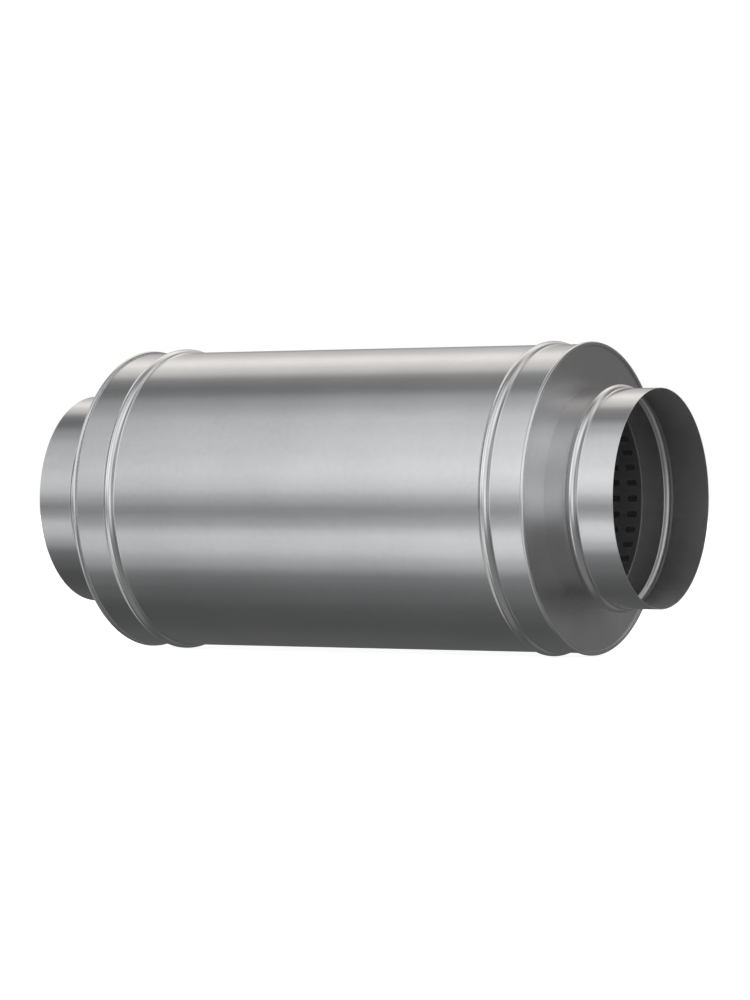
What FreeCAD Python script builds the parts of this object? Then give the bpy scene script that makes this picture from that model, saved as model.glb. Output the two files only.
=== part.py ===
import FreeCAD, Part

import os

import Sketcher

# Round duct sound attenuator.
# The axis of the duct is X and lies level, +Z is up, and the origin is the middle of the axis.
# Everything is in millimetres. Sheet-metal pieces are drawn as half sections and turned about X.

# Driving dimensions: name, value, meaning.
SIZES = [
    ("casing_radius", 176.0, "outside of the rolled casing"),
    ("casing_length", 598.2, "over the two closing rims"),
    ("sheet", 0.8, "thickness of casing, end plate and spigot sheet"),
    ("fit_gap", 0.1, "radial play between pieces pushed into each other"),
    ("rim_proud", 2.6, "how far the closing rim stands out of the casing"),
    ("rim_width", 5.0, "closing rim, along the axis"),
    ("plate_recess", 2.0, "end plate's face behind the rim's face"),
    ("collar_depth", 4.2, "plate's turned-in collar, behind the plate"),
    ("casing_bead_place", 50.2, "casing bead's middle, from the rim's face"),
    ("casing_bead_height", 4.5, "casing bead, over the casing"),
    ("seam_width", 8.0, "lock seam along the casing"),
    ("seam_proud", 0.8, "how far the lock seam stands out of the casing"),
    ("bead_angle", 35.0, "slope of a bead's flanks, in degrees"),
    ("spigot_radius", 125.0, "outside of the spigot, the duct's nominal bore"),
    ("spigot_reach", 83.2, "spigot mouth, from the rim's face"),
    ("spigot_bead_place", 51.0, "spigot bead's middle, from the mouth"),
    ("spigot_bead_height", 4.8, "spigot bead, over the spigot"),
    ("spigot_tuck", 4.8, "spigot's tail, behind the plate"),
    ("liner_sheet", 0.8, "thickness of the perforated sheet"),
    ("slot_length", 12.8, "perforation, along the axis"),
    ("slot_width", 7.0, "perforation, round the tube"),
    ("slot_margin", 5.9, "plain edge of the liner before the first ring"),
    ("slots_per_ring", 42, "perforations in one turn"),
    ("fleece_thickness", 1.6, "fleece round the liner"),
    ("soft_gap", 0.1, "play round the fleece and the wool"),
]

doc = FreeCAD.newDocument("duct_sound_attenuator")


def make_sheet():
    """Puts the driving dimensions into a spreadsheet, one alias each."""
    sheet = doc.addObject("Spreadsheet::Sheet", "Sizes")
    for row, (name, value, meaning) in enumerate(SIZES, start=1):
        sheet.set(f"A{row}", meaning)
        sheet.set(f"B{row}", str(value))
        sheet.setAlias(f"B{row}", name)
    doc.recompute()
    return sheet


sizes = make_sheet()

# Places that several pieces share, measured from the rim's face towards the middle, so that
# they are negative behind it and positive in front of it.
PLATE_FRONT = "(-Sizes.plate_recess)"
PLATE_BACK = f"({PLATE_FRONT} - Sizes.sheet)"
SPIGOT_TAIL = f"({PLATE_BACK} - Sizes.spigot_tuck)"
LINER_END = PLATE_FRONT
HALF_LENGTH = "(Sizes.casing_length / 2)"

# Radii that several pieces share.
CASING_BORE = "(Sizes.casing_radius - Sizes.sheet)"
SPIGOT_BORE = "(Sizes.spigot_radius - Sizes.sheet)"
COLLAR_BORE = "(Sizes.spigot_radius + Sizes.fit_gap)"
COLLAR_OUTSIDE = f"({COLLAR_BORE} + Sizes.sheet)"
LINER_OUTSIDE = f"({SPIGOT_BORE} - Sizes.fit_gap)"
FLEECE_BORE = f"({LINER_OUTSIDE} + Sizes.soft_gap)"
FLEECE_OUTSIDE = f"({FLEECE_BORE} + Sizes.fleece_thickness)"
WOOL_BORE = f"({COLLAR_OUTSIDE} + Sizes.soft_gap)"
WOOL_OUTSIDE = f"({CASING_BORE} - Sizes.soft_gap)"

# Where a bead's flank leans away from the wall, the sheet's inner face turns this much nearer
# to the bead's middle than its outer face, and lies this much below the bead's ridge.
BEAD_ANGLE = "(Sizes.bead_angle * 1 deg)"
MITRE = f"(Sizes.sheet * tan({BEAD_ANGLE} / 2))"
RIDGE_DROP = f"(Sizes.sheet / cos({BEAD_ANGLE}))"


def origin_plane(body, role):
    """The body's own origin plane of that role."""
    return next(f for f in body.Origin.OriginFeatures if f.Role == role)


def new_body(label):
    """An empty body of that name."""
    body = doc.addObject("PartDesign::Body", label)
    body.Label = label
    return body


def half_section(body, corners):
    """A closed half section above the X axis.

    corners are pairs of expressions, the place along the axis and the radius, in order.
    """
    sketch = body.newObject("Sketcher::SketchObject", "half_section")
    sketch.AttachmentSupport = [(origin_plane(body, "XY_Plane"), "")]
    sketch.MapMode = "FlatFace"
    closed_outline(sketch, "section", corners)
    return sketch


def closed_outline(sketch, name, corners):
    """Adds a closed run of lines whose corners are all dimensioned from the sketch's origin."""
    places = [(value_of(x), value_of(y)) for x, y in corners]
    first = sketch.GeometryCount
    for start, end in zip(places, places[1:] + places[:1]):
        sketch.addGeometry(Part.LineSegment(FreeCAD.Vector(*start, 0), FreeCAD.Vector(*end, 0)))
    for i in range(len(corners)):
        following = first + (i + 1) % len(corners)
        sketch.addConstraint(Sketcher.Constraint("Coincident", first + i, 2, following, 1))
    for i, ((x, y), (along, across)) in enumerate(zip(corners, places)):
        dimension(sketch, "DistanceX", first + i, f"{name}_along_{i}", x, along)
        dimension(sketch, "DistanceY", first + i, f"{name}_across_{i}", y, across)


def rectangle(sketch, name, low, high, width):
    """A rectangle along the sketch's X axis, from low to high and centred across."""
    corners = [
        (low, f"-{width} / 2"),
        (high, f"-{width} / 2"),
        (high, f"{width} / 2"),
        (low, f"{width} / 2"),
    ]
    closed_outline(sketch, name, corners)


def dimension(sketch, kind, line, name, expression, value):
    """Ties the start of one line of the sketch to the origin by a named, driven distance."""
    index = sketch.addConstraint(Sketcher.Constraint(kind, -1, 1, line, 1, value))
    sketch.renameConstraint(index, name)
    sketch.setExpression(f"Constraints.{name}", expression)


def value_of(expression):
    """What an expression in the spreadsheet's sizes comes to now."""
    found = sizes.evalExpression(expression)
    return float(getattr(found, "Value", found))


def turned(body, corners):
    """One full turn of a half section about the X axis."""
    sketch = half_section(body, corners)
    turn = body.newObject("PartDesign::Revolution", "turn")
    turn.Profile = sketch
    turn.ReferenceAxis = (sketch, ["H_Axis"])
    turn.Angle = 360
    return turn


def bead_foot(height):
    """Half the width of a bead of this height, over the wall."""
    return f"({height} / tan({BEAD_ANGLE}))"


def bead_outside(middle, radius, height):
    """The outer corners of a swaged bead, foot, ridge and foot, from low to high X."""
    foot = bead_foot(height)
    return [
        (f"{middle} - {foot}", radius),
        (middle, f"{radius} + {height}"),
        (f"{middle} + {foot}", radius),
    ]


def bead_inside(middle, radius, height):
    """The corners of the groove inside the same bead, from high to low X."""
    foot = f"({bead_foot(height)} - {MITRE})"
    return [
        (f"{middle} + {foot}", f"{radius} - Sizes.sheet"),
        (middle, f"{radius} + {height} - {RIDGE_DROP}"),
        (f"{middle} - {foot}", f"{radius} - Sizes.sheet"),
    ]


def mirrored(corners):
    """The same corners on the other side of the middle, in the opposite order."""
    return [(f"-({x})", radius) for x, radius in reversed(corners)]


def make_casing():
    """The rolled casing: a tube with a bead near each end and a closing rim at each end.

    The rim is the seam in which the casing's edge and the end plate's edge are folded
    together and pressed flat, so it is drawn solid.
    """
    body = new_body("casing")
    bead = f"({HALF_LENGTH} - Sizes.casing_bead_place)"
    radius = "Sizes.casing_radius"
    height = "Sizes.casing_bead_height"
    rim_back = f"{HALF_LENGTH} - Sizes.rim_width"
    rim_radius = "Sizes.casing_radius + Sizes.rim_proud"
    right_outside = bead_outside(bead, radius, height) + [
        (rim_back, radius),
        (rim_back, rim_radius),
        (HALF_LENGTH, rim_radius),
    ]
    right_inside = [(HALF_LENGTH, CASING_BORE)] + bead_inside(bead, radius, height)
    corners = mirrored(right_outside) + right_outside + right_inside + mirrored(right_inside)
    turned(body, corners)
    add_lock_seam(body, bead, rim_back)
    return body


def add_lock_seam(body, bead, rim_back):
    """The folded seam that joins the casing's two long edges, on its rear side.

    It runs between the beads, and on each skirt from the bead to the closing rim.
    """
    foot = bead_foot("Sizes.casing_bead_height")
    root = "(Sizes.casing_radius - Sizes.sheet / 2)"
    sketch = body.newObject("Sketcher::SketchObject", "seam_outline")
    sketch.AttachmentSupport = [(origin_plane(body, "XZ_Plane"), "")]
    sketch.MapMode = "FlatFace"
    sketch.setExpression("AttachmentOffset.Base.z", f"-{root}")
    rectangle(sketch, "middle", f"{foot} - {bead}", f"{bead} - {foot}", "Sizes.seam_width")
    rectangle(sketch, "right_skirt", f"{bead} + {foot}", rim_back, "Sizes.seam_width")
    rectangle(sketch, "left_skirt", f"-({rim_back})", f"-({bead} + {foot})", "Sizes.seam_width")
    seam = body.newObject("PartDesign::Pad", "lock_seam")
    seam.Profile = sketch
    seam.Reversed = True
    seam.setExpression("Length", f"Sizes.casing_radius + Sizes.seam_proud - {root}")


def stand_at_end(body, side):
    """Puts an end piece, drawn with X pointing out of its rim's face, at one end of the casing."""
    if side == "left":
        body.Placement = FreeCAD.Placement(
            FreeCAD.Vector(), FreeCAD.Rotation(FreeCAD.Vector(0, 0, 1), 180)
        )
        body.setExpression(".Placement.Base.x", f"-{HALF_LENGTH}")
    else:
        body.setExpression(".Placement.Base.x", HALF_LENGTH)


def make_end_plate(side):
    """The flat ring that closes one end: a short upstand inside the rim, and a turned-in
    collar that grips the spigot."""
    body = new_body(f"end_plate_{side}")
    upstand = f"({CASING_BORE} - Sizes.fit_gap)"
    collar_end = f"{PLATE_BACK} - Sizes.collar_depth"
    corners = [
        (PLATE_FRONT, COLLAR_BORE),
        (PLATE_FRONT, f"{upstand} - Sizes.sheet"),
        ("0", f"{upstand} - Sizes.sheet"),
        ("0", upstand),
        (PLATE_BACK, upstand),
        (PLATE_BACK, COLLAR_OUTSIDE),
        (collar_end, COLLAR_OUTSIDE),
        (collar_end, COLLAR_BORE),
    ]
    turned(body, corners)
    stand_at_end(body, side)
    return body


def make_spigot(side):
    """The collar that a duct slides over, with the bead that stops the duct."""
    body = new_body(f"spigot_{side}")
    mouth = "Sizes.spigot_reach"
    bead = f"({mouth} - Sizes.spigot_bead_place)"
    radius = "Sizes.spigot_radius"
    height = "Sizes.spigot_bead_height"
    corners = [(SPIGOT_TAIL, radius)]
    corners += bead_outside(bead, radius, height)
    corners += [(mouth, radius), (mouth, SPIGOT_BORE)]
    corners += bead_inside(bead, radius, height)
    corners += [(SPIGOT_TAIL, SPIGOT_BORE)]
    turned(body, corners)
    stand_at_end(body, side)
    return body


def flat_sided_tube(body, half_length, bore, outside):
    """A tube along X that is bent, not rolled: one flat for each perforation of a ring."""
    for kind, corner_radius in (("Additive", outside), ("Subtractive", bore)):
        block = body.newObject(f"PartDesign::{kind}Prism", f"{kind.lower()}_prism")
        block.AttachmentSupport = [(origin_plane(body, "YZ_Plane"), "")]
        block.MapMode = "FlatFace"
        block.setExpression("Polygon", "Sizes.slots_per_ring")
        block.setExpression("Circumradius", corner_radius)
        block.setExpression("Height", f"2 * ({half_length})")
        block.setExpression("AttachmentOffset.Base.z", f"-({half_length})")
        block.setExpression("AttachmentOffset.Rotation.Angle", "180 deg / Sizes.slots_per_ring")


def make_perforated_liner():
    """The perforated tube that carries on the spigots' bore from end to end.

    The sheet bends along the lines between its rows of perforations, so the tube has one flat
    for each perforation of a ring. The ring next to each end is cut.
    """
    half_length = f"({HALF_LENGTH} + {LINER_END})"
    tube = new_body("bent_tube")
    flat_sided_tube(tube, half_length, f"{LINER_OUTSIDE} - Sizes.liner_sheet", LINER_OUTSIDE)
    middle = f"({half_length} - Sizes.slot_margin - Sizes.slot_length / 2)"
    pair = [make_punch("right", middle), make_punch("left", f"-{middle}")]
    punches = doc.addObject("Part::Compound", "punches")
    punches.Links = [turned_copy(pair, turn) for turn in range(int(value_of("Sizes.slots_per_ring")))]
    liner = doc.addObject("Part::Cut", "perforated_liner")
    liner.Base = tube
    liner.Tool = punches
    return liner


def turned_copy(items, turn):
    """The items turned about X by so many steps of the ring of perforations."""
    copy = doc.addObject("Part::Compound", f"punches_{turn}")
    copy.Links = items
    copy.Placement = FreeCAD.Placement(FreeCAD.Vector(), FreeCAD.Rotation(FreeCAD.Vector(1, 0, 0), 1))
    copy.setExpression("Placement.Rotation.Angle", f"{turn} * 360 deg / Sizes.slots_per_ring")
    return copy


def make_punch(side, middle):
    """The block that cuts one perforation, standing on the +Y side of the tube."""
    punch = doc.addObject("Part::Box", f"punch_{side}")
    punch.setExpression("Length", "Sizes.slot_length")
    punch.setExpression("Height", "Sizes.slot_width")
    punch.setExpression("Width", "Sizes.fleece_thickness + 2 * Sizes.liner_sheet")
    punch.setExpression("Placement.Base.x", f"{middle} - Sizes.slot_length / 2")
    punch.setExpression("Placement.Base.y", f"{LINER_OUTSIDE} - 2 * Sizes.liner_sheet")
    punch.setExpression("Placement.Base.z", "-Sizes.slot_width / 2")
    return punch


def make_fleece_wrap():
    """The fleece laid round the liner between the spigots' tails."""
    body = new_body("fleece_wrap")
    half_length = f"{HALF_LENGTH} + {SPIGOT_TAIL} - Sizes.soft_gap"
    flat_sided_tube(body, half_length, FLEECE_BORE, FLEECE_OUTSIDE)
    return body


def make_wool_packing():
    """The mineral wool that fills the casing round the fleece, from plate to plate."""
    body = new_body("wool_packing")
    half_length = f"{HALF_LENGTH} + {PLATE_BACK} - Sizes.soft_gap"
    corners = [
        (f"-({half_length})", WOOL_BORE),
        (f"-({half_length})", WOOL_OUTSIDE),
        (half_length, WOOL_OUTSIDE),
        (half_length, WOOL_BORE),
    ]
    turned(body, corners)
    return body


parts = [
    make_casing(),
    make_end_plate("left"),
    make_end_plate("right"),
    make_spigot("left"),
    make_spigot("right"),
    make_perforated_liner(),
    make_fleece_wrap(),
    make_wool_packing(),
]

doc.recompute()
for item in doc.Objects:
    if "Invalid" in item.State or "Error" in item.State:
        raise RuntimeError(f"{item.Label} failed: {item.State}")
for part in parts:
    shape = part.Shape
    if shape.isNull() or not shape.isValid() or not shape.Solids:
        raise RuntimeError(f"{part.Label} has no valid solid")

os.makedirs("parts", exist_ok=True)
for part in parts:
    part.Shape.exportStep(f"parts/{part.Label}.step")
    print(part.Label, "volume", round(part.Shape.Volume / 1000, 1), "cm3, solids", len(part.Shape.Solids))
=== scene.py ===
"""Looks of a round duct sound attenuator: galvanised sheet in an evenly banded light tent."""

import logging
import math
from collections.abc import Callable
from dataclasses import dataclass, field
from enum import Enum

import bmesh
import bpy
from mathutils import Matrix, Vector


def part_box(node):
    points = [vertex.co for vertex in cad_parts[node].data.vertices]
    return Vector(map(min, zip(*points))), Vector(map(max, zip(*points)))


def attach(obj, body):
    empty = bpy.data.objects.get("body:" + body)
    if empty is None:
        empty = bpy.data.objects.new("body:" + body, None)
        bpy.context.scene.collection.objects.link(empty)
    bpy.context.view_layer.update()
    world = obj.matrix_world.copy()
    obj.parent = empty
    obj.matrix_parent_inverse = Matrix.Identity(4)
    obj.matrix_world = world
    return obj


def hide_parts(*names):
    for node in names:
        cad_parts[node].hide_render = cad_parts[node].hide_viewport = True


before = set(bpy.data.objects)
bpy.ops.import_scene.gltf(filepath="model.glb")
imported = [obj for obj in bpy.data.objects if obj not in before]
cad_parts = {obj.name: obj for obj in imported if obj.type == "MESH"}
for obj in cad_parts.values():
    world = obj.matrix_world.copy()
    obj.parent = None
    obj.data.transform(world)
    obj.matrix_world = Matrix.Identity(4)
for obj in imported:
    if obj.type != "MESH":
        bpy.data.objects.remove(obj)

log = logging.getLogger("scene")

MM = 0.001
TURN_STEPS = 192
SMOOTH_TO_DEGREES = 32.0
MERGE_WITHIN = 0.01 * MM
NOISE_LOW = 0.3
NOISE_HIGH = 0.7
EVEN = (1.0, 1.0, 1.0)
AXIS = Vector((1, 0, 0))
ORIGIN = Vector((0, 0, 0))

Colour = tuple[float, float, float]


class Side(Enum):
    """The two ends of the silencer."""

    LEFT = -1
    RIGHT = 1

    @property
    def word(self) -> str:
        """The side as the CAD nodes' names have it."""
        return self.name.lower()


@dataclass(frozen=True)
class Corner:
    """One corner of a sheet's half section.

    Attributes:
        x: place along the duct axis, in metres.
        r: distance from the duct axis, in metres.
        bend: radius of the corner's rounding, in metres.
        edge: whether the corner is a cut or folded edge with the lighter edge colour, partly real scuffs
            and partly a painted highlight.
        dull: how dull the sheet is here, from 0 on the outside to 1 deep in a crease or in the duct.
    """

    x: float
    r: float
    bend: float = 0.0
    edge: bool = False
    dull: float = 0.0


@dataclass(frozen=True)
class Point:
    """A finished point of a half section."""

    x: float
    r: float
    edge: bool
    dull: float


@dataclass
class Sizes:
    """Sizes in metres, read off the frame's boxes where the frame has them."""

    sheet: float = 0.8 * MM
    rim_proud: float = 2.75 * MM
    rim_width: float = 4.3 * MM
    rim_crown: float = 0.95 * MM
    crease_width: float = 0.9 * MM
    plate_recess: float = 2.0 * MM
    collar_depth: float = 4.2 * MM
    fit_gap: float = 0.1 * MM
    seam_width: float = 8.0 * MM
    seam_proud: float = 0.75 * MM
    casing_bead_height: float = 4.4 * MM
    casing_bead_place: float = 50.2 * MM
    spigot_bead_height: float = 4.7 * MM
    spigot_bead_place: float = 51.0 * MM
    bead_half_width: float = 6.9 * MM
    groove_depth: float = 4.2 * MM
    groove_half_width: float = 5.2 * MM
    slot_length: float = 12.8 * MM
    slot_width: float = 7.0 * MM
    slot_corner: float = 2.0 * MM
    slot_pitch: float = 21.9 * MM
    slots_per_ring: int = 42
    slot_rings: int = 27
    half_length: float = field(init=False)
    casing_radius: float = field(init=False)
    mouth: float = field(init=False)
    tail: float = field(init=False)
    spigot_radius: float = field(init=False)
    plate_radius: float = field(init=False)
    liner_end: float = field(init=False)
    liner_radius: float = field(init=False)

    def __post_init__(self) -> None:
        """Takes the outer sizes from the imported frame."""
        self.half_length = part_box("casing")[1].x
        self.plate_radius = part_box("end_plate_right")[1].z
        self.casing_radius = self.plate_radius + self.fit_gap + self.sheet
        low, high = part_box("spigot_right")
        self.mouth = high.x
        self.tail = low.x
        self.liner_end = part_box("perforated_liner")[1].x
        self.liner_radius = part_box("perforated_liner")[1].z
        self.spigot_radius = self.liner_radius + self.fit_gap + self.sheet


class Section:
    """A closed half section of sheet metal, built up corner by corner and turned about X."""

    CORNER_STEPS = 4
    HUMP_STEPS = 14
    FOOT_BEND = 1.1 * MM
    LONG_RUN = 3.0 * MM
    STAY = 0.3 * MM
    LEVEL_SLOPE = 0.01

    def __init__(self) -> None:
        """Starts an empty section."""
        self.corners: list[Corner] = []
        self.dull = 0.0

    def add(self, x: float, r: float, bend: float = 0.0, edge: bool = False) -> None:
        """Adds one corner, as dull as the section is set to be by then.

        Args:
            x: place along the axis.
            r: distance from the axis.
            bend: rounding radius.
            edge: whether it gets the lighter edge colour, partly real scuffs and partly a painted
                highlight.
        """
        self.corners.append(Corner(x, r, bend, edge, self.dull))

    def hump(
        self,
        middle: float,
        r: float,
        height: float,
        half_width: float,
        way: int = 1,
        bend: float = FOOT_BEND,
        edge: bool = False,
    ) -> None:
        """Adds a swaged bead or a rim's back, an arc with softly rounded feet.

        Args:
            middle: place of the arc's crest.
            r: radius of the wall that the arc stands on.
            height: how far the crest stands out of that wall.
            half_width: from the crest to a foot.
            way: 1 when the section runs towards high X here, -1 when it runs back.
            bend: rounding radius of its feet.
            edge: whether its back gets the lighter edge colour, partly real scuffs and partly a painted
                highlight.
        """
        crest_radius = (half_width ** 2 + height ** 2) / (2 * height)
        for step in range(self.HUMP_STEPS + 1):
            along = half_width * (2 * step / self.HUMP_STEPS - 1)
            rise = math.sqrt(crest_radius ** 2 - along ** 2) - (crest_radius - height)
            foot = step in (0, self.HUMP_STEPS)
            self.add(middle + way * along, r + rise, bend if foot else 0.0, edge and not foot)

    def points(self) -> list[Point]:
        """Replaces every corner that has a bend by a short arc.

        Returns:
            The points of the closed outline, in order.
        """
        found: list[Point] = []
        count = len(self.corners)
        for i, corner in enumerate(self.corners):
            if corner.bend <= 0:
                found.append(Point(corner.x, corner.r, corner.edge, corner.dull))
                continue
            here = Vector((corner.x, corner.r))
            before = self.corners[i - 1]
            after = self.corners[(i + 1) % count]
            back = (Vector((before.x, before.r)) - here).normalized()
            ahead = (Vector((after.x, after.r)) - here).normalized()
            for step in range(self.CORNER_STEPS + 1):
                t = step / self.CORNER_STEPS
                start = here + back * corner.bend
                end = here + ahead * corner.bend
                near = start.lerp(here, t)
                far = here.lerp(end, t)
                place = near.lerp(far, t)
                found.append(Point(place.x, place.y, corner.edge, corner.dull))
        return self.with_stays(found)

    def with_stays(self, outline: list[Point]) -> list[Point]:
        """Adds a point close to each end of the long runs along the axis, to keep their shading straight.

        Args:
            outline: the points of the closed outline.

        Returns:
            The same outline with the added points.
        """
        stayed: list[Point] = []
        for start, end in zip(outline, outline[1:] + outline[:1]):
            stayed.append(start)
            length = end.x - start.x
            level = abs(end.r - start.r) <= self.LEVEL_SLOPE * abs(length)
            if abs(length) < self.LONG_RUN or not level:
                continue
            step = math.copysign(self.STAY, length)
            stayed.append(Point(start.x + step, start.r, False, start.dull))
            stayed.append(Point(end.x - step, end.r, False, end.dull))
        return stayed

    def turned(self, name: str, side: Side = Side.RIGHT) -> bpy.types.Object:
        """Spins the closed outline one full turn about X.

        Args:
            name: the object's name.
            side: LEFT mirrors the section to the other end.

        Returns:
            The finished object.
        """
        bm = bmesh.new()
        scuff_and_highlight = bm.verts.layers.float.new("edge_scuff_and_highlight")
        dull = bm.verts.layers.float.new("dull_share")
        ring = []
        for point in self.points():
            vert = bm.verts.new((point.x * side.value, 0.0, point.r))
            # Flagged edges, bead crests and rim backs get the lighter edge colour: partly real scuffs and
            # partly a painted highlight.
            vert[scuff_and_highlight] = 1.0 if point.edge else 0.0
            vert[dull] = point.dull
            ring.append(vert)
        for start, end in zip(ring, ring[1:] + ring[:1]):
            bm.edges.new((start, end))
        bmesh.ops.spin(
            bm,
            geom=bm.verts[:] + bm.edges[:],
            cent=ORIGIN,
            axis=AXIS,
            angle=2 * math.pi,
            steps=TURN_STEPS,
            use_merge=True,
            use_duplicate=False,
        )
        bmesh.ops.remove_doubles(bm, verts=bm.verts[:], dist=MERGE_WITHIN / 10)
        bmesh.ops.recalc_face_normals(bm, faces=bm.faces[:])
        return finished_object(bm, name)


def finished_object(bm: bmesh.types.BMesh, name: str) -> bpy.types.Object:
    """Turns a bmesh into a smooth-shaded object at the origin.

    Args:
        bm: the mesh, which is freed.
        name: the object's name.

    Returns:
        The object, linked to the scene.
    """
    mesh = bpy.data.meshes.new(name)
    bm.to_mesh(mesh)
    bm.free()
    mesh.polygons.foreach_set("use_smooth", [True] * len(mesh.polygons))
    mesh.set_sharp_from_angle(angle=math.radians(SMOOTH_TO_DEGREES))
    piece = bpy.data.objects.new(name, mesh)
    bpy.context.scene.collection.objects.link(piece)
    log.info("%s: %d faces", name, len(mesh.polygons))
    return piece


def join(whole: bpy.types.Object, part: bpy.types.Object) -> None:
    """Takes one object's mesh into another's and removes the first.

    Args:
        whole: the object that stays.
        part: the object that is taken in.
    """
    with bpy.context.temp_override(active_object=whole, selected_editable_objects=[whole, part]):
        bpy.ops.object.join()


class NodeTree:
    """A small helper that adds and links shader nodes."""

    def __init__(
        self,
        name: str,
        shader: str = "ShaderNodeBsdfPrincipled",
        socket: str = "BSDF",
    ) -> None:
        """Starts a material with one shader on its surface.

        Args:
            name: the material's name.
            shader: the type name of the shader's node.
            socket: that node's output.
        """
        self.material = bpy.data.materials.new(name)
        self.material.use_nodes = True
        self.tree = self.material.node_tree
        self.tree.nodes.clear()
        self.shader = self.add(shader)
        surface = self.add("ShaderNodeOutputMaterial")
        self.link(self.shader, socket, surface, "Surface")

    def add(self, kind: str, **values: object) -> bpy.types.Node:
        """Adds a node.

        Args:
            kind: the node's type name.
            **values: attributes to set on it.

        Returns:
            The node.
        """
        node = self.tree.nodes.new(kind)
        for key, value in values.items():
            setattr(node, key, value)
        return node

    def link(self, source: bpy.types.Node, out: str, target: bpy.types.Node, into: str | int) -> None:
        """Links one socket to another by their names, or by number where a node's inputs share a name."""
        self.tree.links.new(source.outputs[out], target.inputs[into])

    def noise(self, stretch: tuple[float, float, float], scale: float, detail: float) -> bpy.types.Node:
        """Adds a noise texture on Object coordinates.

        Args:
            stretch: how often the pattern repeats along X, Y and Z against the others.
            scale: the noise's scale, per metre.
            detail: the noise's detail.

        Returns:
            The noise node.
        """
        place = self.add("ShaderNodeTexCoord")
        mapping = self.add("ShaderNodeMapping")
        mapping.inputs["Scale"].default_value = stretch
        texture = self.add("ShaderNodeTexNoise")
        texture.inputs["Scale"].default_value = scale
        texture.inputs["Detail"].default_value = detail
        self.link(place, "Object", mapping, "Vector")
        self.link(mapping, "Vector", texture, "Vector")
        return texture

    def spread(self, texture: bpy.types.Node, low: float, high: float) -> bpy.types.Node:
        """Maps the range that most of a noise texture lies in to low and high.

        Args:
            texture: the noise node.
            low: the value at the noise's low end.
            high: the value at its high end.

        Returns:
            The Map Range node.
        """
        node = self.add("ShaderNodeMapRange")
        node.inputs["From Min"].default_value = NOISE_LOW
        node.inputs["From Max"].default_value = NOISE_HIGH
        node.inputs["To Min"].default_value = low
        node.inputs["To Max"].default_value = high
        self.link(texture, "Fac", node, "Value")
        return node

    def between(self, texture: bpy.types.Node, dark: Colour, light: Colour) -> bpy.types.Node:
        """Mixes two colours by a noise texture.

        Args:
            texture: the noise node.
            dark: the colour at the noise's low end.
            light: the colour at its high end.

        Returns:
            The Mix node.
        """
        colours = self.add("ShaderNodeMix", data_type="RGBA")
        colours.inputs["A"].default_value = (*dark, 1.0)
        colours.inputs["B"].default_value = (*light, 1.0)
        self.link(self.spread(texture, 0.0, 1.0), "Result", colours, "Factor")
        return colours

    def relief(self, texture: bpy.types.Node, strength: float, height: float) -> None:
        """Tilts the shader's normal by a noise texture.

        Args:
            texture: the noise node.
            strength: how much of the tilt is taken over.
            height: how high the noise stands, in metres.
        """
        bump = self.add("ShaderNodeBump")
        bump.inputs["Strength"].default_value = strength
        bump.inputs["Distance"].default_value = height
        self.link(texture, "Fac", bump, "Height")
        self.link(bump, "Normal", self.shader, "Normal")

    def soft_step(
        self,
        direction: bpy.types.Node,
        axis: str,
        start: float,
        full: float,
        top: float = 1.0,
    ) -> bpy.types.Node:
        """Turns one part of a direction into a soft step.

        Args:
            direction: the node that splits the direction.
            axis: X, Y or Z.
            start: where the step leaves 0.
            full: where it reaches its top.
            top: how high it goes.

        Returns:
            The Map Range node.
        """
        step = self.add("ShaderNodeMapRange", interpolation_type="SMOOTHSTEP")
        step.inputs["From Min"].default_value = start
        step.inputs["From Max"].default_value = full
        step.inputs["To Max"].default_value = top
        self.link(direction, axis, step, "Value")
        return step


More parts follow.
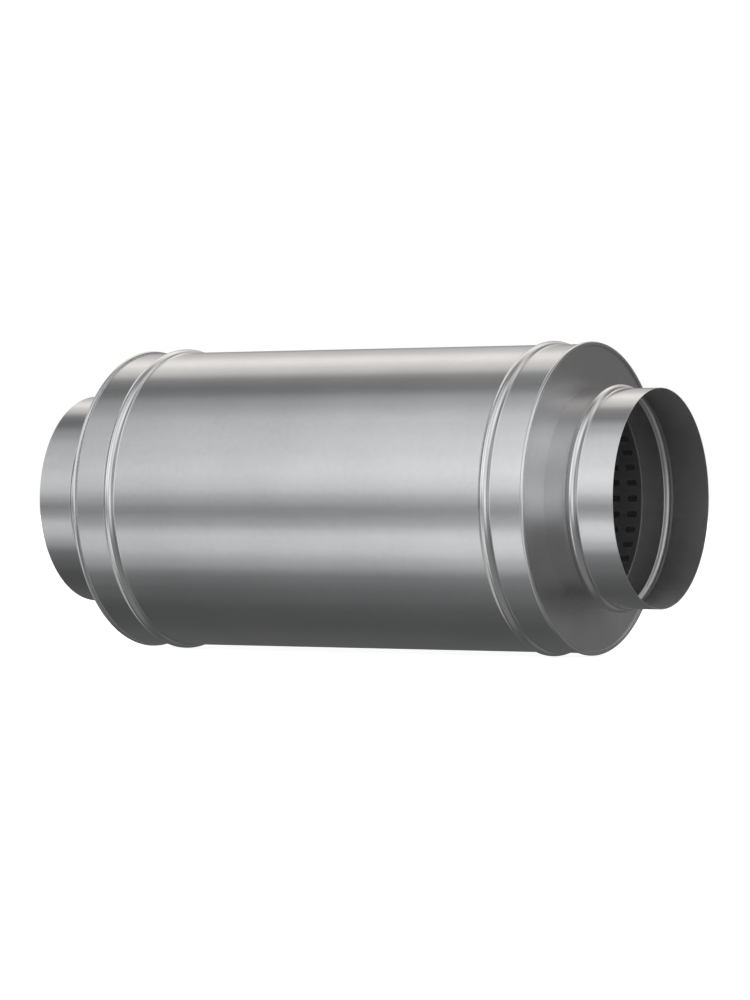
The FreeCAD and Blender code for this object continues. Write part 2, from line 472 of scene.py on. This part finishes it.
@dataclass(frozen=True)
class Galvanised:
    """Smooth zinc-coated sheet.

    Attributes:
        name: the material's name.
        tint: base colour.
        roughness: mean roughness.
        streak: how much rolling streaks vary the roughness.
        mottle: how much large soft patches vary the colour.
        dulled: how much rougher the sheet is where it is fully dull.
        rolled: how fine the rolling streaks are along X, Y and Z.
        patch_scale: scale of the patches, per metre.
        spangle_scale: scale of the zinc crystals, per metre.
        streak_scale: scale of the rolling streaks, per metre.
        darkest_spangle: brightness of the darkest crystals against the sheet.
        scuffed_and_highlight_colour: lighter colour of scuffed edges, partly real scuffs and partly a
            painted highlight.
        least_scuffed_and_highlight_colour: how much of that colour the least scuffed stretch of an edge
            has.
        streak_height: how high the rolling streaks stand, in metres.
        streak_tilt: how much of their tilt is seen.
    """

    name: str
    tint: Colour
    roughness: float
    streak: float = 0.02
    mottle: float = 0.04
    dulled: float = 0.22
    rolled: tuple[float, float, float] = (2.0, 120.0, 120.0)
    patch_scale: float = 9.0
    spangle_scale: float = 160.0
    streak_scale: float = 3.0
    darkest_spangle: float = 0.97
    scuffed_and_highlight_colour: Colour = (0.92, 0.925, 0.93)
    least_scuffed_and_highlight_colour: float = 0.4
    streak_height: float = 0.2 * MM
    streak_tilt: float = 0.03

    def material(self) -> bpy.types.Material:
        """Builds the node material.

        Returns:
            The material.
        """
        nodes = NodeTree(self.name)
        nodes.shader.inputs["Metallic"].default_value = 1.0
        streaks = nodes.noise(self.rolled, self.streak_scale, 4.0)
        self.colour(nodes)
        self.sheen(nodes, streaks)
        nodes.relief(streaks, self.streak_tilt, self.streak_height)
        return nodes.material

    def colour(self, nodes: NodeTree) -> None:
        """Wires the colour of patches, crystals and edges; the lighter edge colour is partly real scuffs
        and partly a painted highlight.

        Args:
            nodes: the material's tree.
        """
        patches = nodes.noise(EVEN, self.patch_scale, 3.0)
        darker = tuple(part * (1 - self.mottle) for part in self.tint)
        lighter = tuple(min(1.0, part * (1 + self.mottle)) for part in self.tint)
        mottled = nodes.between(patches, darker, lighter)
        spangle = nodes.noise(EVEN, self.spangle_scale, 2.0)
        grain = nodes.add("ShaderNodeMix", data_type="RGBA", blend_type="MULTIPLY")
        grain.inputs["Factor"].default_value = 1.0
        nodes.link(mottled, "Result", grain, "A")
        nodes.link(nodes.spread(spangle, self.darkest_spangle, 1.0), "Result", grain, "B")
        # Lighter colour on flagged edges, bead crests and rim backs: partly real scuffs and partly a
        # painted highlight.
        scuff_and_highlight = nodes.add("ShaderNodeAttribute", attribute_name="edge_scuff_and_highlight")
        scuff_and_highlight_share = nodes.add("ShaderNodeMath", operation="MULTIPLY")
        nodes.link(scuff_and_highlight, "Fac", scuff_and_highlight_share, 0)
        nodes.link(nodes.spread(patches, self.least_scuffed_and_highlight_colour, 1.0), "Result", scuff_and_highlight_share, 1)
        scuffed_and_highlit = nodes.add("ShaderNodeMix", data_type="RGBA")
        scuffed_and_highlit.inputs["B"].default_value = (*self.scuffed_and_highlight_colour, 1.0)
        nodes.link(scuff_and_highlight_share, "Value", scuffed_and_highlit, "Factor")
        nodes.link(grain, "Result", scuffed_and_highlit, "A")
        nodes.link(scuffed_and_highlit, "Result", nodes.shader, "Base Color")

    def sheen(self, nodes: NodeTree, streaks: bpy.types.Node) -> None:
        """Wires the roughness of the rolling streaks and of dull sheet.

        Args:
            nodes: the material's tree.
            streaks: the noise of the rolling streaks.
        """
        rough = nodes.spread(streaks, self.roughness - self.streak, self.roughness + self.streak)
        dull = nodes.add("ShaderNodeAttribute", attribute_name="dull_share")
        duller = nodes.add("ShaderNodeMath", operation="MULTIPLY_ADD")
        duller.inputs[1].default_value = self.dulled
        nodes.link(dull, "Fac", duller, 0)
        nodes.link(rough, "Result", duller, 2)
        nodes.link(duller, "Value", nodes.shader, "Roughness")


@dataclass(frozen=True)
class Fibre:
    """A matt mat of fibres, such as fleece or mineral wool.

    Attributes:
        name: the material's name.
        dark: colour between the fibres.
        light: colour of the fibres on top.
        scale: scale of the fibres, per metre.
        height: how high the fibres stand, in metres.
        tilt: how much of their tilt is seen.
        smoothest: roughness at the smoothest.
        roughest: roughness at the roughest.
    """

    name: str
    dark: Colour
    light: Colour
    scale: float
    height: float
    tilt: float = 0.6
    smoothest: float = 0.85
    roughest: float = 0.97

    def material(self) -> bpy.types.Material:
        """Builds the node material.

        Returns:
            The material.
        """
        nodes = NodeTree(self.name)
        threads = nodes.noise(EVEN, self.scale, 8.0)
        colours = nodes.between(threads, self.dark, self.light)
        nodes.link(colours, "Result", nodes.shader, "Base Color")
        rough = nodes.spread(threads, self.smoothest, self.roughest)
        nodes.link(rough, "Result", nodes.shader, "Roughness")
        nodes.relief(threads, self.tilt, self.height)
        return nodes.material


def show(piece: bpy.types.Object, material: bpy.types.Material, slot: str, *nodes: str) -> None:
    """Gives a piece its finish and hangs it on the frame in place of CAD nodes.

    Args:
        piece: the piece.
        material: its finish.
        slot: the record's material slot, not used.
        *nodes: CAD nodes that the piece stands for.
    """
    piece.data.materials.clear()
    piece.data.materials.append(material)
    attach(piece, "root")
    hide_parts(*nodes)


@dataclass
class Casing:
    """The rolled casing with its beads and closing rims.

    Attributes:
        sizes: the silencer's sizes.
        fold_bend: rounding radius of folded and cut edges.
        crease_bend: rounding radius of the crease behind a rim.
        crease_fade: over how much of the casing the crease's dullness ends.
        seam_bend: rounding radius of the lock seam's long edges.
        seam_gap: from the end of a seam's run to a bead.
    """

    sizes: Sizes
    fold_bend: float = 0.25 * MM
    crease_bend: float = 0.4 * MM
    crease_fade: float = 0.45 * MM
    seam_bend: float = 0.5 * MM
    seam_gap: float = 0.5 * MM

    def build(self) -> bpy.types.Object:
        """Builds the casing.

        Returns:
            The object.
        """
        s = self.sizes
        bead = s.half_length - s.casing_bead_place
        rim_back = s.half_length - s.rim_width
        inside = s.casing_radius - s.sheet
        section = Section()
        section.add(-s.half_length, inside, self.fold_bend)
        self.rim(section, -1)
        self.crease(section, -1)
        for middle in (-bead, bead):
            section.hump(middle, s.casing_radius, s.casing_bead_height, s.bead_half_width, edge=True)
        self.crease(section, 1)
        self.rim(section, 1)
        section.add(s.half_length, inside, self.fold_bend)
        for middle in (bead, -bead):
            section.hump(middle, inside, s.casing_bead_height, s.bead_half_width, way=-1)
        casing = section.turned("casing_visual")
        foot = s.bead_half_width + self.seam_gap
        runs = ((foot - bead, bead - foot), (bead + foot, rim_back), (-rim_back, -bead - foot))
        for start, end in runs:
            join(casing, self.seam_strip(start, end))
        return casing

    def rim(self, section: Section, end: int) -> None:
        """Adds the rounded back of one closing rim.

        Args:
            section: the casing's section.
            end: -1 for the left rim and 1 for the right one.
        """
        s = self.sizes
        section.hump(
            end * (s.half_length - s.rim_width / 2),
            s.casing_radius + s.rim_proud - s.rim_crown,
            s.rim_crown,
            s.rim_width / 2,
            bend=self.fold_bend,
            edge=True,
        )

    def crease(self, section: Section, end: int) -> None:
        """Adds the dull crease behind one rim, from low to high X.

        Args:
            section: the casing's section.
            end: -1 for the left rim and 1 for the right one.
        """
        s = self.sizes
        foot = s.half_length - s.rim_width
        duller = foot - s.crease_width
        corners = ((foot, self.crease_bend, 1.0), (duller, 0.0, 1.0), (duller - self.crease_fade, 0.0, 0.0))
        for place, bend, dull in corners[::-end]:
            section.dull = dull
            section.add(end * place, s.casing_radius, bend)
        section.dull = 0.0

    def seam_strip(self, start: float, end: float) -> bpy.types.Object:
        """Builds one run of the folded lock seam on the casing's rear side.

        Args:
            start: the run's low end along X.
            end: its high end.

        Returns:
            The strip, with rounded long edges.
        """
        s = self.sizes
        depth = s.seam_proud + s.sheet / 2
        middle = Vector(((start + end) / 2, s.casing_radius + s.seam_proud - depth / 2, 0))
        bm = bmesh.new()
        bmesh.ops.create_cube(bm, size=1.0)
        bmesh.ops.scale(bm, vec=(end - start, depth, s.seam_width), verts=bm.verts[:])
        bmesh.ops.translate(bm, vec=middle, verts=bm.verts[:])
        outer = [edge for edge in bm.edges if all(vert.co.y > middle.y for vert in edge.verts)]
        bmesh.ops.bevel(
            bm,
            geom=outer,
            offset=self.seam_bend,
            offset_type="OFFSET",
            segments=3,
            profile=0.5,
            affect="EDGES",
            clamp_overlap=True,
            material=-1,
        )
        return finished_object(bm, "seam_strip")


@dataclass
class EndPlate:
    """One end plate: a flat ring with a turned-up edge and a turned-in collar.

    Attributes:
        sizes: the silencer's sizes.
        side: which end the plate is at.
        hole_gap: from the plate's hole to the spigot.
        hole_bend: rounding radius at the hole.
        upstand_bend: rounding radius in the front corner, where the edge turns up.
        heel_bend: rounding radius of the same corner at the back.
        lip_bend: rounding radius of the turned-up edge's two corners.
        collar_bend: rounding radius where the collar turns in.
        cut_bend: rounding radius of the collar's cut end.
    """

    sizes: Sizes
    side: Side
    hole_gap: float = 0.03 * MM
    hole_bend: float = 0.05 * MM
    upstand_bend: float = 0.9 * MM
    heel_bend: float = 0.7 * MM
    lip_bend: float = 0.3 * MM
    collar_bend: float = 0.4 * MM
    cut_bend: float = 0.1 * MM

    def build(self) -> bpy.types.Object:
        """Builds the plate.

        Returns:
            The object.
        """
        s = self.sizes
        front = s.half_length - s.plate_recess
        back = front - s.sheet
        hole = s.spigot_radius + self.hole_gap
        upstand = s.plate_radius - s.sheet
        section = Section()
        section.add(front, hole, self.hole_bend)
        section.add(front, upstand, self.upstand_bend)
        section.add(s.half_length, upstand, self.lip_bend)
        section.add(s.half_length, s.plate_radius, self.lip_bend)
        section.add(back, s.plate_radius, self.heel_bend)
        section.add(back, hole + s.sheet, self.collar_bend)
        section.add(back - s.collar_depth, hole + s.sheet, self.cut_bend)
        section.add(back - s.collar_depth, hole, self.cut_bend)
        return section.turned(f"end_plate_{self.side.word}_visual", self.side)


@dataclass
class Spigot:
    """One spigot with the bead that stops the duct.

    Attributes:
        sizes: the silencer's sizes.
        side: which end the spigot is at.
        tail_bend: rounding radius of the hidden inner end's corners.
        mouth_bend: rounding radius of the mouth's corners.
        dull_at_mouth: how dull the inner wall is at the mouth.
        dull_in_groove: how dull it is in the bead's groove.
    """

    sizes: Sizes
    side: Side
    tail_bend: float = 0.15 * MM
    mouth_bend: float = 0.25 * MM
    dull_at_mouth: float = 0.62
    dull_in_groove: float = 0.6

    def build(self) -> bpy.types.Object:
        """Builds the spigot.

        Returns:
            The object.
        """
        s = self.sizes
        bead = s.mouth - s.spigot_bead_place
        inside = s.spigot_radius - s.sheet
        section = Section()
        section.dull = 1.0
        section.add(s.tail, inside, self.tail_bend)
        section.dull = 0.0
        section.add(s.tail, s.spigot_radius, self.tail_bend)
        section.hump(bead, s.spigot_radius, s.spigot_bead_height, s.bead_half_width, edge=True)
        section.add(s.mouth, s.spigot_radius, self.mouth_bend, edge=True)
        section.dull = self.dull_at_mouth
        section.add(s.mouth, inside, self.mouth_bend)
        section.dull = self.dull_in_groove
        section.hump(bead, inside, s.groove_depth, s.groove_half_width, way=-1)
        return section.turned(f"spigot_{self.side.word}_visual", self.side)


@dataclass
class Liner:
    """The perforated tube: rings of slots over its whole length.

    Attributes:
        sizes: the silencer's sizes.
        corner_steps: edges in a slot's rounded corner.
    """

    sizes: Sizes
    corner_steps: int = 2

    def build(self) -> bpy.types.Object:
        """Builds one slotted cell flat, repeats it along and round the tube, and thickens it.

        Returns:
            The object.
        """
        s = self.sizes
        bm = bmesh.new()
        self.cell(bm)
        first = (s.slot_rings - 1) / 2 * s.slot_pitch
        bmesh.ops.translate(bm, verts=bm.verts[:], vec=(-first, 0, 0))
        self.repeat(bm, s.slot_rings, lambda ring: Matrix.Translation((ring * s.slot_pitch, 0, 0)))
        self.plain_ends(bm)
        for vert in bm.verts:
            angle = vert.co.y / s.liner_radius
            vert.co.z = s.liner_radius * math.sin(angle)
            vert.co.y = s.liner_radius * math.cos(angle)
        share_of_turn = 2 * math.pi / s.slots_per_ring
        self.repeat(bm, s.slots_per_ring, lambda turn: Matrix.Rotation(turn * share_of_turn, 4, "X"))
        self.face_outwards(bm)
        bmesh.ops.solidify(bm, geom=bm.faces[:], thickness=s.sheet)
        bmesh.ops.recalc_face_normals(bm, faces=bm.faces[:])
        return finished_object(bm, "perforated_liner_visual")

    @staticmethod
    def repeat(bm: bmesh.types.BMesh, count: int, place: Callable[[int], Matrix]) -> None:
        """Copies all that is in the mesh and welds the copies together.

        Args:
            bm: the mesh.
            count: how many there are in the end, the first one included.
            place: gives the move of the copy with that number.
        """
        first = bm.verts[:] + bm.edges[:] + bm.faces[:]
        for number in range(1, count):
            copy = bmesh.ops.duplicate(bm, geom=first)["geom"]
            moved = [item for item in copy if isinstance(item, bmesh.types.BMVert)]
            bmesh.ops.transform(bm, matrix=place(number), verts=moved)
        bmesh.ops.remove_doubles(bm, verts=bm.verts[:], dist=MERGE_WITHIN)

    @staticmethod
    def face_outwards(bm: bmesh.types.BMesh) -> None:
        """Turns the open tube's faces away from the duct axis.

        Args:
            bm: the tube, without a thickness.
        """
        bmesh.ops.recalc_face_normals(bm, faces=bm.faces[:])
        outward = sum(face.normal.dot(Vector((0, *face.calc_center_median().yz))) for face in bm.faces)
        if outward < 0:
            bmesh.ops.reverse_faces(bm, faces=bm.faces[:])

    def cell(self, bm: bmesh.types.BMesh) -> None:
        """Makes one flat cell, as long as the pitch, with a slot with rounded corners in its middle.

        Args:
            bm: an empty mesh.
        """
        s = self.sizes
        half_cell = math.pi * s.liner_radius / s.slots_per_ring
        half_pitch = s.slot_pitch / 2
        reach_x = s.slot_length / 2 - s.slot_corner
        reach_y = s.slot_width / 2 - s.slot_corner
        inner = []
        outer = []
        for quarter, (side_x, side_y) in enumerate(((1, 1), (-1, 1), (-1, -1), (1, -1))):
            for step in range(self.corner_steps + 1):
                share = step / self.corner_steps
                angle = (quarter + share) * math.pi / 2
                x = side_x * reach_x + s.slot_corner * math.cos(angle)
                y = side_y * reach_y + s.slot_corner * math.sin(angle)
                inner.append(bm.verts.new((x, y, 0)))
                # The middle of a slot's corner goes to the cell's corner, its ends straight to the edges.
                if share == 0.5:
                    edge_x, edge_y = half_pitch, half_cell
                elif (share < 0.5) == (quarter % 2 == 0):
                    edge_x, edge_y = half_pitch, reach_y
                else:
                    edge_x, edge_y = reach_x, half_cell
                outer.append(bm.verts.new((side_x * edge_x, side_y * edge_y, 0)))
        count = len(inner)
        for i in range(count):
            j = (i + 1) % count
            bm.faces.new((inner[i], outer[i], outer[j], inner[j]))

    def plain_ends(self, bm: bmesh.types.BMesh) -> None:
        """Extends the row's two open ends to the ends of the tube.

        Args:
            bm: the flat row of cells.
        """
        s = self.sizes
        reach = s.slot_rings * s.slot_pitch / 2
        for end in (-1, 1):
            rim = [
                edge
                for edge in bm.edges
                if all(abs(vert.co.x - end * reach) < MERGE_WITHIN for vert in edge.verts)
            ]
            grown = bmesh.ops.extrude_edge_only(bm, edges=rim)["geom"]
            for vert in (item for item in grown if isinstance(item, bmesh.types.BMVert)):
                vert.co.x = end * s.liner_end


@dataclass(frozen=True)
class Shot:
    """The camera, fitted to the photograph.

    Attributes:
        azimuth: degrees round from the front.
        elevation: degrees up.
        distance: metres from the middle of the duct.
        lens: focal length in millimetres for a 36 mm sensor on the longer side.
        shift: the frame's shift against the duct's middle, in shares of the longer side.
    """

    azimuth: float = 30.02
    elevation: float = 0.0
    distance: float = 4.497
    lens: float = 137.6
    shift: tuple[float, float] = (0.0069, -0.0014)

    def build(self) -> None:
        """Adds the camera."""
        data = bpy.data.cameras.new("photo_camera")
        data.lens = self.lens
        data.sensor_width = 36.0
        data.shift_x, data.shift_y = self.shift
        data.clip_end = 200.0
        camera = bpy.data.objects.new("photo_camera", data)
        bpy.context.scene.collection.objects.link(camera)
        turn = math.radians(self.azimuth)
        rise = math.radians(self.elevation)
        back = Vector((
            math.sin(turn) * math.cos(rise),
            -math.cos(turn) * math.cos(rise),
            math.sin(rise),
        ))
        camera.location = back * self.distance
        camera.rotation_euler = (-back).to_track_quat("-Z", "Y").to_euler()
        bpy.context.scene.camera = camera


@dataclass(frozen=True)
class Band:
    """One stop of the tent's brightness.

    Attributes:
        degrees: angle round the duct axis from the front, upwards, or the tent's length from
            -180 at the left end to 180 at the right end.
        level: brightness.
        warmth: how much redder than blue the band is.
    """

    degrees: float
    level: float
    warmth: float = -0.012

    def colour(self) -> tuple[float, float, float, float]:
        """The band's colour with full alpha."""
        return (self.level * (1 + self.warmth), self.level, self.level * (1 - self.warmth), 1.0)


def grey(level: float) -> tuple[float, float, float, float]:
    """A grey with full alpha."""
    return (level, level, level, 1.0)


@dataclass(frozen=True)
class Patch:
    """A soft-edged part of the tent with one even level.

    Attributes:
        level: brightness.
        share: how much of the level is taken over where the patch is full.
        ranges: for each axis of the direction from the duct's middle, where the patch starts and
            where it is full.
    """

    level: float
    share: float
    ranges: dict[str, tuple[float, float]]


@dataclass(frozen=True)
class Tent:
    """The light tent: a wide tube round the object whose glow is banded like the photo's studio.

    Attributes:
        radius: the tube's radius, in metres.
        half_length: half the tube's length, in metres.
        segments: edges round the tube.
        bands: the glow round the duct axis in the tent's left part.
        right_bands: the same in its right part.
        crossover: the direction's X where the right bands start and where they are alone.
        along: the glow along the tent, by which the bands are multiplied.
        behind: the direction's Y where the glow along the tent starts and where it is full.
        plain_level: the even level that stands in for it behind the duct.
        gain: strength of the whole glow.
        patches: parts with a level of their own.
    """

    radius: float = 9.0
    half_length: float = 14.0
    segments: int = 128
    bands: tuple[Band, ...] = (
        Band(-180, 0.11), Band(-140, 0.105), Band(-110, 0.09), Band(-95, 0.098), Band(-78, 0.135),
        Band(-62, 0.19), Band(-50, 0.44), Band(-38, 0.68), Band(-28, 0.72), Band(-18, 0.40),
        Band(-9, 0.275), Band(0, 0.46), Band(8, 0.69), Band(20, 0.78), Band(40, 0.68),
        Band(60, 0.60), Band(78, 0.40), Band(92, 0.185), Band(104, 0.23), Band(116, 0.67, 0.03),
        Band(132, 0.95, 0.035), Band(150, 0.58, 0.03), Band(180, 0.10),
    )
    right_bands: tuple[Band, ...] = (
        Band(-180, 0.10), Band(-140, 0.09), Band(-110, 0.08), Band(-95, 0.085), Band(-78, 0.11),
        Band(-62, 0.13), Band(-44, 0.22), Band(-25, 0.32), Band(-12, 0.43), Band(0, 0.56),
        Band(10, 0.52), Band(25, 0.44), Band(42, 0.50), Band(60, 0.58), Band(78, 0.46),
        Band(92, 0.28), Band(104, 0.34), Band(116, 0.66, 0.03), Band(132, 0.80, 0.035),
        Band(150, 0.60, 0.03), Band(180, 0.26),
    )
    along: tuple[Band, ...] = (
        Band(-180, 0.26, 0), Band(-165, 0.36, 0), Band(-150, 0.80, 0), Band(-136, 1.0, 0),
        Band(-118, 0.54, 0), Band(-104, 0.50, 0), Band(-90, 0.61, 0), Band(-81, 0.67, 0),
        Band(-72, 0.69, 0), Band(-58, 0.88, 0), Band(-38, 0.86, 0), Band(-4, 0.58, 0),
        Band(35, 0.80, 0), Band(80, 1.12, 0), Band(106, 0.95, 0), Band(132, 0.46, 0),
        Band(160, 0.42, 0), Band(180, 0.60, 0),
    )
    crossover: tuple[float, float] = (-0.05, 0.25)
    behind: tuple[float, float] = (0.5, 0.0)
    plain_level: float = 0.61
    gain: float = 1.62
    patches: tuple[Patch, ...] = (
        Patch(0.105, 0.93, {"X": (0.03, 0.33), "Y": (0.35, 0.7)}),
        Patch(0.11, 0.90, {"X": (-0.40, -0.12), "Y": (0.3, 0.0), "Z": (-0.2, -0.5)}),
        Patch(0.30, 0.90, {"X": (-0.62, -0.80), "Z": (-0.1, -0.35)}),
    )

    def build(self) -> None:
        """Adds the tent's tube, seen only in reflections and by what it lights."""
        bm = bmesh.new()
        bmesh.ops.create_cone(
            bm,
            cap_ends=True,
            segments=self.segments,
            radius1=self.radius,
            radius2=self.radius,
            depth=2 * self.half_length,
            matrix=Matrix.Rotation(math.pi / 2, 4, "Y"),
        )
        bmesh.ops.reverse_faces(bm, faces=bm.faces[:])
        tent = finished_object(bm, "light_tent")
        tent.data.materials.append(self.material())
        tent.visible_camera = False
        tent.visible_shadow = False

    def material(self) -> bpy.types.Material:
        """Builds the banded glow.

        Returns:
            The material.
        """
        nodes = NodeTree("light_tent", "ShaderNodeEmission", "Emission")
        nodes.shader.inputs["Strength"].default_value = self.gain
        place = nodes.add("ShaderNodeTexCoord")
        aim = nodes.add("ShaderNodeVectorMath", operation="NORMALIZE")
        nodes.link(place, "Object", aim, 0)
        direction = nodes.add("ShaderNodeSeparateXYZ")
        nodes.link(aim, "Vector", direction, "Vector")
        lit = nodes.add("ShaderNodeMix", data_type="RGBA", blend_type="MULTIPLY")
        lit.inputs["Factor"].default_value = 1.0
        nodes.link(self.round_axis(nodes, direction), "Result", lit, "A")
        nodes.link(self.lengthwise(nodes, direction), "Result", lit, "B")
        for patch in self.patches:
            lit = self.patched(nodes, direction, lit, patch)
        nodes.link(lit, "Result", nodes.shader, "Color")
        return nodes.material

    def round_axis(self, nodes: NodeTree, direction: bpy.types.Node) -> bpy.types.Node:
        """Wires the glow by the angle round the duct axis.

        Args:
            nodes: the tent's tree.
            direction: the node that splits the direction.

        Returns:
            The Mix node of the left and the right bands.
        """
        towards_front = nodes.add("ShaderNodeMath", operation="MULTIPLY")
        towards_front.inputs[1].default_value = -1.0
        nodes.link(direction, "Y", towards_front, 0)
        angle = nodes.add("ShaderNodeMath", operation="ARCTAN2")
        nodes.link(direction, "Z", angle, 0)
        nodes.link(towards_front, "Value", angle, 1)
        both = nodes.add("ShaderNodeMix", data_type="RGBA")
        nodes.link(nodes.soft_step(direction, "X", *self.crossover), "Result", both, "Factor")
        for bands, socket in ((self.bands, "A"), (self.right_bands, "B")):
            share = self.share(nodes, angle, "Value", math.pi)
            nodes.link(self.ramp(nodes, share, bands, "EASE"), "Color", both, socket)
        return both

    def lengthwise(self, nodes: NodeTree, direction: bpy.types.Node) -> bpy.types.Node:
        """Wires the glow along the tent, with an even level behind the duct.

        Args:
            nodes: the tent's tree.
            direction: the node that splits the direction.

        Returns:
            The Mix node of the even level and the glow.
        """
        varied = nodes.add("ShaderNodeMix", data_type="RGBA")
        varied.inputs["A"].default_value = grey(self.plain_level)
        nodes.link(nodes.soft_step(direction, "Y", *self.behind), "Result", varied, "Factor")
        share = self.share(nodes, direction, "X", 1.0)
        nodes.link(self.ramp(nodes, share, self.along, "CARDINAL"), "Color", varied, "B")
        return varied

    @staticmethod
    def patched(
        nodes: NodeTree,
        direction: bpy.types.Node,
        lit: bpy.types.Node,
        patch: Patch,
    ) -> bpy.types.Node:
        """Lays one patch over the glow; each axis' step goes as high as the one before it went.

        Args:
            nodes: the tent's tree.
            direction: the node that splits the direction.
            lit: the glow so far, a Mix node.
            patch: the patch.

        Returns:
            The Mix node with the patch.
        """
        steps = []
        for axis, (start, full) in patch.ranges.items():
            steps.append(nodes.soft_step(direction, axis, start, full, patch.share))
        for step, next_step in zip(steps, steps[1:]):
            nodes.link(step, "Result", next_step, "To Max")
        mixed = nodes.add("ShaderNodeMix", data_type="RGBA")
        mixed.inputs["B"].default_value = grey(patch.level)
        nodes.link(steps[-1], "Result", mixed, "Factor")
        nodes.link(lit, "Result", mixed, "A")
        return mixed

    @staticmethod
    def share(nodes: NodeTree, source: bpy.types.Node, out: str, reach: float) -> bpy.types.Node:
        """Maps a value from -reach to reach to a ramp's 0 to 1.

        Args:
            nodes: the tent's tree.
            source: the node that gives the value.
            out: its output.
            reach: the value's highest.

        Returns:
            The Map Range node.
        """
        share = nodes.add("ShaderNodeMapRange")
        share.inputs["From Min"].default_value = -reach
        share.inputs["From Max"].default_value = reach
        nodes.link(source, out, share, "Value")
        return share

    @staticmethod
    def ramp(
        nodes: NodeTree,
        share: bpy.types.Node,
        bands: tuple[Band, ...],
        interpolation: str,
    ) -> bpy.types.Node:
        """Puts bands into a colour ramp.

        Args:
            nodes: the tent's tree.
            share: the node that gives the place on the ramp.
            bands: the bands, from -180 to 180 degrees.
            interpolation: how the ramp goes from stop to stop.

        Returns:
            The ramp's node.
        """
        node = nodes.add("ShaderNodeValToRGB")
        ramp = node.color_ramp
        ramp.interpolation = interpolation
        for band in bands[1:-1]:
            ramp.elements.new((band.degrees + 180) / 360)
        ramp.elements[0].position = 0.0
        ramp.elements[-1].position = 1.0
        for stop, band in zip(ramp.elements, bands):
            stop.color = band.colour()
        nodes.link(share, "Result", node, "Fac")
        return node


@dataclass(frozen=True)
class Ground:
    """The plain white floor under the object, which keeps its soft shadow.

    Attributes:
        height: where the floor lies.
        half_size: half the floor's side, in metres.
        paint: how much of the light the floor gives back.
        glow: what the camera sees on top of that.
    """

    height: float
    half_size: float = 30.0
    paint: float = 0.85
    glow: float = 0.86

    def build(self) -> None:
        """Adds the floor."""
        bm = bmesh.new()
        bmesh.ops.create_grid(bm, x_segments=1, y_segments=1, size=self.half_size)
        bmesh.ops.translate(bm, verts=bm.verts[:], vec=(0, 0, self.height))
        floor = finished_object(bm, "floor")
        floor.visible_glossy = False
        floor.data.materials.append(self.material())

    def material(self) -> bpy.types.Material:
        """Builds a white diffuse floor with a glow for the camera alone.

        Returns:
            The material.
        """
        nodes = NodeTree("white_floor", "ShaderNodeAddShader", "Shader")
        white = nodes.add("ShaderNodeBsdfDiffuse")
        white.inputs["Color"].default_value = grey(self.paint)
        ray = nodes.add("ShaderNodeLightPath")
        level = nodes.add("ShaderNodeMath", operation="MULTIPLY")
        level.inputs[1].default_value = self.glow
        nodes.link(ray, "Is Camera Ray", level, 0)
        glow = nodes.add("ShaderNodeEmission")
        nodes.link(level, "Value", glow, "Strength")
        nodes.link(white, "BSDF", nodes.shader, 0)
        nodes.link(glow, "Emission", nodes.shader, 1)
        return nodes.material


def white_world() -> None:
    """Makes the world plain white."""
    world = bpy.data.worlds.new("studio")
    bpy.context.scene.world = world
    world.use_nodes = True
    tree = world.node_tree
    tree.nodes.clear()
    out = tree.nodes.new("ShaderNodeOutputWorld")
    backdrop = tree.nodes.new("ShaderNodeBackground")
    backdrop.inputs["Color"].default_value = grey(1.0)
    backdrop.inputs["Strength"].default_value = 1.0
    tree.links.new(backdrop.outputs["Background"], out.inputs["Surface"])


def main() -> None:
    """Builds every piece, its finish, the studio and the camera."""
    logging.basicConfig(level=logging.INFO)
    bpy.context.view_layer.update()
    sizes = Sizes()
    zinc = (0.81, 0.81, 0.815)
    plate_zinc = (0.69, 0.69, 0.697)
    plate_streaks = (9.0, 3.0, 40.0)
    plate_look = Galvanised("plate_sheet", plate_zinc, 0.36, mottle=0.07, rolled=plate_streaks)
    plate_finish = plate_look.material()
    casing_finish = Galvanised("casing_sheet", zinc, 0.17, dulled=0.6).material()
    spigot_finish = Galvanised("spigot_sheet", zinc, 0.17, dulled=0.40).material()
    # The perforated sheet's tint is far darker than the other zinc: painted shade for the inside of the
    # duct.
    liner_finish_with_painted_shade = Galvanised("perforated_sheet", (0.5, 0.5, 0.51), 0.5).material()
    show(Casing(sizes).build(), casing_finish, "casing_sheet", "casing")
    for side in Side:
        plate = EndPlate(sizes, side).build()
        show(plate, plate_finish, "plate_sheet", f"end_plate_{side.word}")
        spigot = Spigot(sizes, side).build()
        show(spigot, spigot_finish, "spigot_sheet", f"spigot_{side.word}")
    show(Liner(sizes).build(), liner_finish_with_painted_shade, "perforated_sheet", "perforated_liner")
    fleece = Fibre("fleece", (0.03, 0.03, 0.032), (0.075, 0.075, 0.078), 900.0, 0.4 * MM)
    wool = Fibre("mineral_wool", (0.34, 0.29, 0.16), (0.62, 0.56, 0.38), 120.0, 2.0 * MM)
    for node, finish in (("fleece_wrap", fleece), ("wool_packing", wool)):
        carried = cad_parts[node]
        carried.data.materials.clear()
        carried.data.materials.append(finish.material())
        log.info("%s keeps its form", node)
    Shot().build()
    Tent().build()
    Ground(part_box("casing")[0].z).build()
    white_world()
    scene = bpy.context.scene
    scene.view_settings.view_transform = "Standard"


if __name__ == "__main__":
    main()
